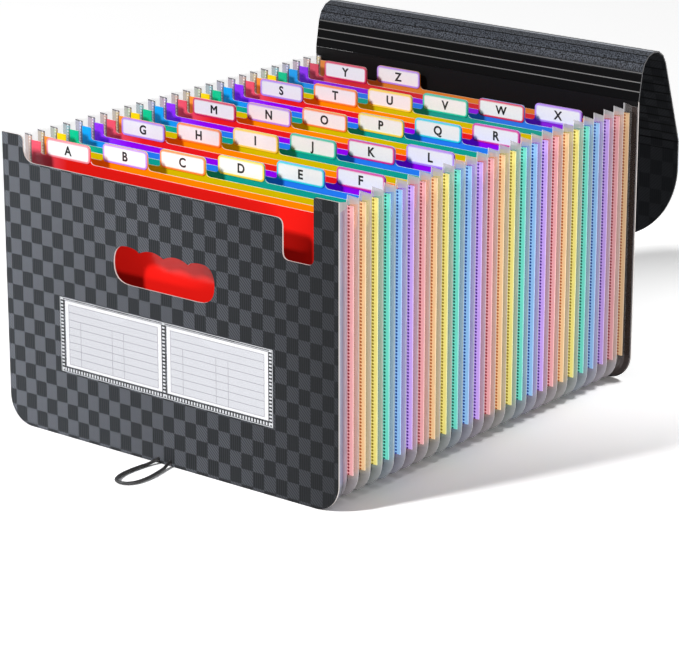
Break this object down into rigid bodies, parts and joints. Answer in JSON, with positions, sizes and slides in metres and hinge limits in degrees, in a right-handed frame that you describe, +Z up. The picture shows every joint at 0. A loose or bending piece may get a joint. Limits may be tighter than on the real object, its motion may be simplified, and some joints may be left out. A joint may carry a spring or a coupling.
{
  "type": "accordion file organizer",
  "caption": "Expanding accordion file, pulled open, with coloured index dividers, a pleated gusset, a front cover with hand-hole and card pockets, and a fold-over flap.",
  "frame": {"origin": "centre of the footprint on the surface that the open file stands on", "axes": "+X to the right seen from the front cover, +Y from the front cover to the back cover, +Z up"},
  "size_m": [0.33, 0.5005, 0.2726],
  "materials": {
    "cover_sheet": "black polypropylene sheet with a fine woven-look check",
    "gusset_film": "frosted clear polypropylene film",
    "pocket_film": "clear glossy film with welded edges",
    "white_card": "smooth white card",
    "elastic_cord": "black round braided elastic",
    "divider_red": "translucent coloured polypropylene sheet, satin",
    "divider_orange": "translucent coloured polypropylene sheet, satin",
    "divider_yellow": "translucent coloured polypropylene sheet, satin",
    "divider_teal": "translucent coloured polypropylene sheet, satin",
    "divider_blue": "translucent coloured polypropylene sheet, satin",
    "divider_purple": "translucent coloured polypropylene sheet, satin"
  },
  "bodies": {
    "file": {"front_cover": "cover_sheet", "back_cover": "cover_sheet", "accordion_gusset": "gusset_film", "card_pocket_film": "pocket_film", "index_card_left": "white_card", "index_card_right": "white_card", "elastic_loop": "elastic_cord", "divider_a": "divider_red", "label_a": "white_card", "divider_b": "divider_orange", "label_b": "white_card", "divider_c": "divider_yellow", "label_c": "white_card", "divider_d": "divider_teal", "label_d": "white_card", "divider_e": "divider_blue", "label_e": "white_card", "divider_f": "divider_purple", "label_f": "white_card", "divider_g": "divider_red", "label_g": "white_card", "divider_h": "divider_orange", "label_h": "white_card", "divider_i": "divider_yellow", "label_i": "white_card", "divider_j": "divider_teal", "label_j": "white_card", "divider_k": "divider_blue", "label_k": "white_card", "divider_l": "divider_purple", "label_l": "white_card", "divider_m": "divider_red", "label_m": "white_card", "divider_n": "divider_orange", "label_n": "white_card", "divider_o": "divider_yellow", "label_o": "white_card", "divider_p": "divider_teal", "label_p": "white_card", "divider_q": "divider_blue", "label_q": "white_card", "divider_r": "divider_purple", "label_r": "white_card", "divider_s": "divider_red", "label_s": "white_card", "divider_t": "divider_orange", "label_t": "white_card", "divider_u": "divider_yellow", "label_u": "white_card", "divider_v": "divider_teal", "label_v": "white_card", "divider_w": "divider_blue", "label_w": "white_card", "divider_x": "divider_purple", "label_x": "white_card", "divider_y": "divider_red", "label_y": "white_card", "divider_z": "divider_orange", "label_z": "white_card"},
    "flap_sheet": {"flap": "cover_sheet"}
  },
  "joints": [
    {"name": "flap_fold", "type": "hinge", "parent": "file", "child": "flap_sheet", "pos_m": [0, 0.16091, 0.2359], "axis": [1, 0, 0], "range_deg": [0, 90]}
  ]
}
